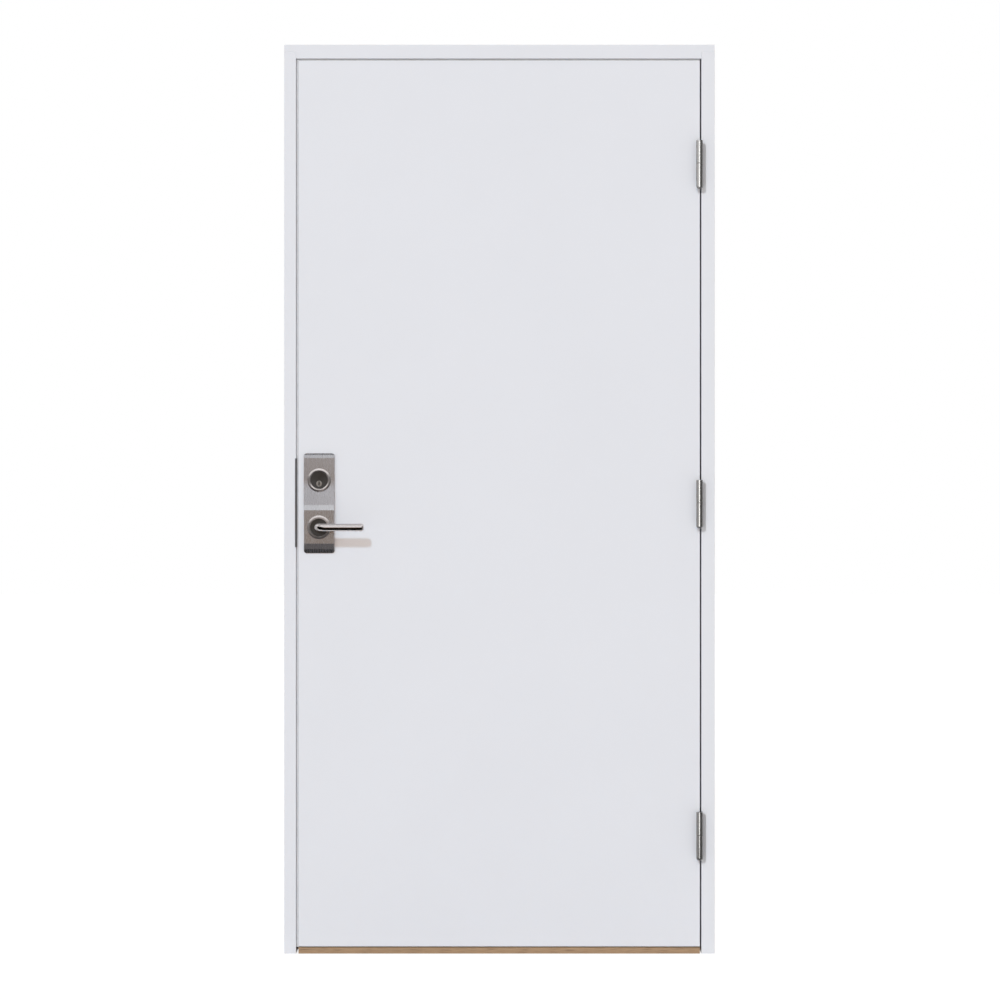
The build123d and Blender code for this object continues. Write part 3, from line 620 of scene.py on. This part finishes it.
class DOOR_OT_paint_woodwork(bpy.types.Operator):
    """Paints the frame and the leaf white"""

    bl_idname = "entrance_door.paint_woodwork"
    bl_label = "Paint Frame and Leaf"

    def execute(self, context):
        finishes = context.scene.door_finishes
        finish(PAINTED_FRAME, white_paint("frame_white", finishes.paint, sheen=0.46))
        finish(PAINTED_LEAF, white_paint("leaf_white", finishes.paint, sheen=0.42))
        finish(("leaf_core",), raw_board())
        return {"FINISHED"}


class DOOR_OT_varnish_threshold(bpy.types.Operator):
    """Varnishes the oak threshold"""

    bl_idname = "entrance_door.varnish_threshold"
    bl_label = "Varnish Threshold"

    def execute(self, context):
        finish(("threshold",), varnished_oak(context.scene.door_finishes.oak))
        return {"FINISHED"}


class DOOR_OT_finish_seals(bpy.types.Operator):
    """Gives the sealing strips and the cover caps their rubber and plastic"""

    bl_idname = "entrance_door.finish_seals"
    bl_label = "Finish Seals and Caps"

    def execute(self, context):
        finish(SEALS, grey_rubber())
        finish(("fixing_caps",), moulded_plastic())
        return {"FINISHED"}


class DOOR_OT_finish_hinges(bpy.types.Operator):
    """Gives the hinges their satin steel, with marks round the barrels"""

    bl_idname = "entrance_door.finish_hinges"
    bl_label = "Finish Hinges"

    def execute(self, context):
        satin = context.scene.door_finishes.hinge_steel
        finish(HINGE_HALVES, brushed_steel("hinge_satin", satin, roughness=0.22, grain=ROUND_GRAIN))
        finish(HINGE_PINS, brushed_steel("pin_steel", (0.2, 0.19, 0.18), roughness=0.5, grain=ROUND_GRAIN))
        return {"FINISHED"}


class DOOR_OT_finish_lock(bpy.types.Operator):
    """Plates the lock's case and bolts, and darkens the strike"""

    bl_idname = "entrance_door.finish_lock"
    bl_label = "Finish Lock and Strike"

    def execute(self, context):
        finish(LOCK_WORKS, brushed_steel("zinc_plating", (0.5, 0.5, 0.48), roughness=0.34, grain=PLATING_GRAIN))
        finish(("strike_plate",), brushed_steel("dark_zinc", (0.26, 0.26, 0.27), roughness=0.4, grain=STRIKE_GRAIN))
        return {"FINISHED"}


class DOOR_OT_finish_furniture(bpy.types.Operator):
    """Gives plates, rings, discs, levers and plug their metal finishes"""

    bl_idname = "entrance_door.finish_furniture"
    bl_label = "Finish Lock Furniture"

    def execute(self, context):
        finishes = context.scene.door_finishes
        bright, dark, nickel = finishes.bright_steel, finishes.dark_steel, (0.42, 0.41, 0.39)
        finish(PLATES, brushed_steel("plate_satin", finishes.plate_steel, roughness=0.25, grain=UPRIGHT_GRAIN))
        finish(LEVERS, brushed_steel("lever_satin", bright, roughness=0.14, grain=LEVEL_GRAIN))
        for pieces, name, colour, roughness, centre in (
            (HANDLE_RINGS, "handle_ring_turned", bright, 0.3, handle_middle),
            (CYLINDER_RINGS, "cylinder_ring_turned", bright, 0.3, cylinder_middle),
            (HANDLE_DISCS, "handle_disc_black", dark, 0.3, handle_middle),
            (("cylinder_guard",), "guard_disc_black", dark, 0.3, cylinder_middle),
            (("thumb_turn",), "turn_satin", bright, 0.22, cylinder_middle),
            (("key_plug",), "plug_nickel", nickel, 0.28, plug_middle),
        ):
            finish(pieces, turned_steel(name, colour, roughness, centre))
        return {"FINISHED"}


# Stage


FLOOR_SIZE = 40.0
FLOOR_BOUNCE = (0.92, 0.92, 0.92, 1.0)  # of the light that it throws back
SHADOW_TAKER = (0.26, 0.26, 0.26, 1.0)  # as it is seen, with a glow that brings it to white
FLOOR_GLOW = 0.83
WHITE = (1.0, 1.0, 1.0, 1.0)
SENSOR_WIDTH = 36.0  # of the camera, in millimetres


def emitting(name, colour):
    """A plain glowing material for the stage's cards."""
    material = bpy.data.materials.new(name)
    material.use_nodes = True
    material.cycles.emission_sampling = "NONE"
    tree = material.node_tree
    tree.nodes.clear()
    output = tree.nodes.new("ShaderNodeOutputMaterial")
    glow = tree.nodes.new("ShaderNodeEmission")
    glow.inputs["Color"].default_value = (*colour, 1.0)
    tree.links.new(glow.outputs["Emission"], output.inputs["Surface"])
    return material


def seen_directly(tree):
    """One for camera, glossy and transmission rays, and nought for the rest."""
    path = tree.nodes.new("ShaderNodeLightPath")
    total = path.outputs["Is Camera Ray"]
    for ray in ("Is Glossy Ray", "Is Transmission Ray"):
        add = tree.nodes.new("ShaderNodeMath")
        add.operation = "ADD"
        add.use_clamp = True
        tree.links.new(total, add.inputs[0])
        tree.links.new(path.outputs[ray], add.inputs[1])
        total = add.outputs["Value"]
    return total


def pale_floor():
    """Floor that is white to the camera and to reflections, and still takes the door's shadow."""
    material = bpy.data.materials.new("pale_floor")
    material.use_nodes = True
    tree = material.node_tree
    tree.nodes.clear()
    output = tree.nodes.new("ShaderNodeOutputMaterial")
    seen = seen_directly(tree)
    plain = tree.nodes.new("ShaderNodeBsdfDiffuse")
    plain.inputs["Color"].default_value = FLOOR_BOUNCE
    shadow_taker = tree.nodes.new("ShaderNodeBsdfDiffuse")
    shadow_taker.inputs["Color"].default_value = SHADOW_TAKER
    glow = tree.nodes.new("ShaderNodeEmission")
    glow.inputs["Strength"].default_value = FLOOR_GLOW
    both = tree.nodes.new("ShaderNodeAddShader")
    tree.links.new(shadow_taker.outputs["BSDF"], both.inputs[0])
    tree.links.new(glow.outputs["Emission"], both.inputs[1])
    mix = tree.nodes.new("ShaderNodeMixShader")
    tree.links.new(seen, mix.inputs["Fac"])
    tree.links.new(plain.outputs["BSDF"], mix.inputs[1])
    tree.links.new(both.outputs["Shader"], mix.inputs[2])
    tree.links.new(mix.outputs["Shader"], output.inputs["Surface"])
    return material


# Colours of the light: the lamps are cool where the even light is warm, so that only shadows are tinted
WARM_DAYLIGHT = (1.03, 0.97, 0.9)
KEY_COLOUR = (0.78, 1.1, 1.34)
FILL_COLOUR = (1.36, 0.84, 0.5)
JAMB_COLOUR = (0.963, 1.0, 1.036)

# Where the lamps shine
KEY_DIRECTION = (0.24, 1.0, -0.64)
FILL_DIRECTION = (0.1, 1.0, -0.5)
JAMB_DIRECTION = (0.57, 1.0, -0.57)

BACK_DAYLIGHT_START = 0.4  # how far a direction points behind the door where the back's light is full


def build_world(front, back):
    """Warm even daylight before the door and white behind it, and plain white where it is seen or mirrored."""
    world = bpy.data.worlds.new("even_daylight")
    world.use_nodes = True
    tree = world.node_tree
    tree.nodes.clear()
    output = tree.nodes.new("ShaderNodeOutputWorld")
    direction = tree.nodes.new("ShaderNodeTexCoord").outputs["Generated"]
    axes = tree.nodes.new("ShaderNodeSeparateXYZ")
    tree.links.new(direction, axes.inputs["Vector"])
    share = tree.nodes.new("ShaderNodeMapRange")
    share.interpolation_type = "SMOOTHSTEP"
    share.inputs["From Max"].default_value = BACK_DAYLIGHT_START
    tree.links.new(axes.outputs["Y"], share.inputs["Value"])
    blend = tree.nodes.new("ShaderNodeMix")
    blend.data_type = "RGBA"
    blend.inputs["A"].default_value = (*shade_of(WARM_DAYLIGHT, front), 1.0)
    blend.inputs["B"].default_value = (back, back, back, 1.0)
    tree.links.new(share.outputs["Result"], blend.inputs["Factor"])
    light = tree.nodes.new("ShaderNodeBackground")
    tree.links.new(blend.outputs["Result"], light.inputs["Color"])
    backdrop = tree.nodes.new("ShaderNodeBackground")
    backdrop.inputs["Color"].default_value = WHITE
    mix = tree.nodes.new("ShaderNodeMixShader")
    tree.links.new(seen_directly(tree), mix.inputs["Fac"])
    tree.links.new(light.outputs["Background"], mix.inputs[1])
    tree.links.new(backdrop.outputs["Background"], mix.inputs[2])
    tree.links.new(mix.outputs["Shader"], output.inputs["Surface"])
    return world


# What the metal mirrors, in front of the door and again behind it: a dim warm room with a window and a soft box over
# it, grey side walls and ceiling, and a grey floor. A card is flat between opposite corners.
CARDS = (
    ("room_card", (-2.2, -6.5, 0.0), (1.35, -6.5, 1.45), (0.41, 0.31, 0.23)),
    ("window_card", (-4.0, -6.5, 1.45), (1.35, -6.5, 2.4), (1.1, 1.12, 1.19)),
    ("transom_card", (-4.0, -6.5, 2.4), (1.35, -6.5, 3.0), (0.3, 0.3, 0.32)),
    ("sky_card", (-4.0, -6.5, 3.0), (1.35, -6.5, 6.0), (1.3, 1.33, 1.38)),
    ("lintel_card", (-4.0, -6.5, 6.0), (1.35, -6.5, 7.0), (0.35, 0.34, 0.34)),
    ("upper_ceiling", (-4.0, -6.5, 7.0), (1.35, -3.9, 7.0), (0.35, 0.34, 0.34)),
    ("soft_box", (-4.0, -3.9, 7.0), (1.35, -1.2, 7.0), (1.5, 1.52, 1.55)),
    ("ceiling_card", (-2.2, -0.5, 2.5), (0.0, -0.05, 2.5), (0.16, 0.16, 0.17)),
    ("left_card", (-2.2, -6.5, 0.0), (-2.2, -0.12, 1.9), (0.2, 0.195, 0.195)),
    ("right_card", (1.35, -6.5, 0.0), (1.35, -0.1, 2.2), (0.17, 0.17, 0.17)),
    ("far_floor", (-2.2, -6.5, 0.004), (1.35, -3.2, 0.004), (0.36, 0.32, 0.3)),
    ("middle_floor", (-2.2, -3.2, 0.004), (1.35, -1.5, 0.004), (0.17, 0.167, 0.176)),
    ("near_floor", (-2.2, -1.5, 0.004), (1.35, -0.12, 0.004), (0.06, 0.058, 0.06)),
)
DARK_CARDS = ("left_card", "far_floor", "middle_floor", "near_floor")  # the levers mirror these as black
BACK_GLOW = 0.38  # the cards behind the door are paler by this
BACK_SHARE = 0.6  # and take this share of the front cards' colours

# Lights that only the hinges mirror: name, middle, facing, width, height and brightness
WATTS_OF_GLOW = 4.0  # for each square metre of a light of brightness one
HINGE_LIGHTS = (
    ("hinge_strip", (0.34, -1.2, 1.08), (0, 1, 0), 0.45, 2.1, 4.2),
    ("hinge_side", (-0.6, -1.6, 1.25), (1, 0, 0), 2.9, 2.5, 0.85),
)


def add_card(name, low, high, colour):
    """A flat card between two corners, which only reflections see."""
    low, high = Vector(low), Vector(high)
    span = high - low
    turns = {"x": (0, math.radians(90.0), 0), "y": (math.radians(90.0), 0, 0), "z": (0, 0, 0)}
    thin = min("xyz", key=lambda axis: abs(getattr(span, axis)))
    deselect()
    bpy.ops.mesh.primitive_plane_add(size=1.0, location=(low + high) / 2, rotation=turns[thin])
    card = bpy.context.object
    card.name = name
    card.dimensions = {"x": (span.z, span.y, 0), "y": (span.x, span.z, 0), "z": (span.x, span.y, 0)}[thin]
    bpy.ops.object.transform_apply(location=True, rotation=True, scale=True)
    card.data.materials.append(emitting(name, colour))
    card.visible_camera = False
    card.visible_diffuse = False
    card.visible_shadow = False
    card.visible_transmission = False
    return card


def light_group(name, nodes, state):
    """A group of CAD pieces that a light takes in or leaves out."""
    group = bpy.data.collections.new(name)
    for node in nodes:
        group.objects.link(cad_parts[node])
    for member in group.collection_objects:
        member.light_linking.link_state = state
    return group


def add_sun(name, strength, direction, angle, colour):
    """A far lamp that shines along a direction, as wide as an angle in degrees, which metal doesn't mirror."""
    deselect()
    bpy.ops.object.light_add(type="SUN", location=(-1.0, -4.0, 4.0))
    lamp = bpy.context.object
    lamp.name = name
    lamp.data.energy = strength
    lamp.data.color = colour
    lamp.data.angle = math.radians(angle)
    lamp.rotation_euler = Vector(direction).to_track_quat("-Z", "Y").to_euler()
    lamp.visible_glossy = False
    return lamp


def add_hinge_light(name, middle, facing, width, height, brightness, hinges):
    """A flat light that shows only as a reflection in the hinges."""
    deselect()
    bpy.ops.object.light_add(type="AREA", location=middle)
    lamp = bpy.context.object
    lamp.name = name
    lamp.data.shape = "RECTANGLE"
    lamp.data.size = width
    lamp.data.size_y = height
    lamp.data.energy = brightness * WATTS_OF_GLOW * width * height
    lamp.rotation_euler = Vector(facing).to_track_quat("-Z", "Y").to_euler()
    lamp.visible_camera = False
    lamp.visible_diffuse = False
    lamp.visible_transmission = False
    lamp.light_linking.receiver_collection = hinges


class DOOR_OT_stage(bpy.types.Operator):
    """Sets the floor, the light and the camera"""

    bl_idname = "entrance_door.stage"
    bl_label = "Set Floor, Light and Camera"

    def execute(self, context):
        scene = context.scene
        studio = scene.door_studio
        scene.view_settings.view_transform = "Standard"
        scene.world = build_world(studio.daylight, studio.back_daylight)

        deselect()
        bpy.ops.mesh.primitive_plane_add(size=FLOOR_SIZE, location=(0, 0, 0))
        floor = context.object
        floor.name = "floor"
        floor.data.materials.append(pale_floor())

        all_but_levers = light_group("all_but_levers", LEVERS, "EXCLUDE")
        for name, low, high, colour in CARDS:
            card = add_card(name, low, high, colour)
            if name in DARK_CARDS:
                card.light_linking.receiver_collection = all_but_levers
            behind = [(x, -y, z) for x, y, z in (low, high)]
            add_card(f"back_{name}", *behind, [BACK_GLOW + BACK_SHARE * channel for channel in colour])

        all_but_jamb = light_group("all_but_jamb", ("hinge_jamb",), "EXCLUDE")
        key = add_sun("key_light", studio.key_light, KEY_DIRECTION, 4.0, KEY_COLOUR)
        key.light_linking.receiver_collection = all_but_jamb
        fill = add_sun("fill_light", studio.fill_light, FILL_DIRECTION, 2.0, FILL_COLOUR)
        fill.light_linking.receiver_collection = all_but_jamb
        fill.light_linking.blocker_collection = light_group("furniture_group", OUTSIDE_FURNITURE, "EXCLUDE")
        jamb = add_sun("jamb_light", studio.jamb_light, JAMB_DIRECTION, 3.0, JAMB_COLOUR)
        jamb.light_linking.receiver_collection = light_group("jamb_group", ("hinge_jamb",), "INCLUDE")

        hinges = light_group("hinge_group", HINGE_HALVES, "INCLUDE")
        for name, middle, facing, width, height, brightness in HINGE_LIGHTS:
            add_hinge_light(name, middle, facing, width, height, brightness, hinges)

        bpy.ops.object.camera_add(
            location=(studio.camera_side, leaf_front - studio.camera_distance, studio.camera_height),
            rotation=(math.radians(90.0), 0, 0),
        )
        camera = context.object
        camera.name = "camera"
        camera.data.sensor_width = SENSOR_WIDTH
        camera.data.lens = SENSOR_WIDTH * studio.camera_distance / studio.field_width
        scene.camera = camera
        return {"FINISHED"}


class DOOR_PT_looks(bpy.types.Panel):
    """Lists the door's finishing steps"""

    bl_idname = "DOOR_PT_looks"
    bl_label = "Entrance Door"
    bl_space_type = "VIEW_3D"
    bl_region_type = "UI"
    bl_category = "Entrance Door"

    def draw(self, context):
        layout = self.layout
        scene = context.scene
        for settings in (scene.door_finishes, scene.door_screws, scene.door_studio):
            for name in settings.__annotations__:
                layout.prop(settings, name)
        for step in STEPS:
            layout.operator(step.bl_idname)


SETTINGS = (DoorFinishes, DoorScrews, DoorStudio)
STEPS = (
    DOOR_OT_paint_woodwork,
    DOOR_OT_varnish_threshold,
    DOOR_OT_finish_seals,
    DOOR_OT_finish_hinges,
    DOOR_OT_finish_lock,
    DOOR_OT_finish_furniture,
    DOOR_OT_fit_hinge_screws,
    DOOR_OT_fit_lock_screws,
    DOOR_OT_fit_grub_screws,
    DOOR_OT_stage,
)


def register():
    for cls in (*SETTINGS, *STEPS, DOOR_PT_looks):
        bpy.utils.register_class(cls)
    bpy.types.Scene.door_finishes = bpy.props.PointerProperty(type=DoorFinishes)
    bpy.types.Scene.door_screws = bpy.props.PointerProperty(type=DoorScrews)
    bpy.types.Scene.door_studio = bpy.props.PointerProperty(type=DoorStudio)


def unregister():
    del bpy.types.Scene.door_studio
    del bpy.types.Scene.door_screws
    del bpy.types.Scene.door_finishes
    for cls in reversed((*SETTINGS, *STEPS, DOOR_PT_looks)):
        bpy.utils.unregister_class(cls)


def main():
    register()
    bpy.ops.entrance_door.paint_woodwork()
    bpy.ops.entrance_door.varnish_threshold()
    bpy.ops.entrance_door.finish_seals()
    bpy.ops.entrance_door.finish_hinges()
    bpy.ops.entrance_door.finish_lock()
    bpy.ops.entrance_door.finish_furniture()
    bpy.ops.entrance_door.fit_hinge_screws()
    bpy.ops.entrance_door.fit_lock_screws()
    bpy.ops.entrance_door.fit_grub_screws()
    bpy.ops.entrance_door.stage()


if __name__ == "__main__":
    main()
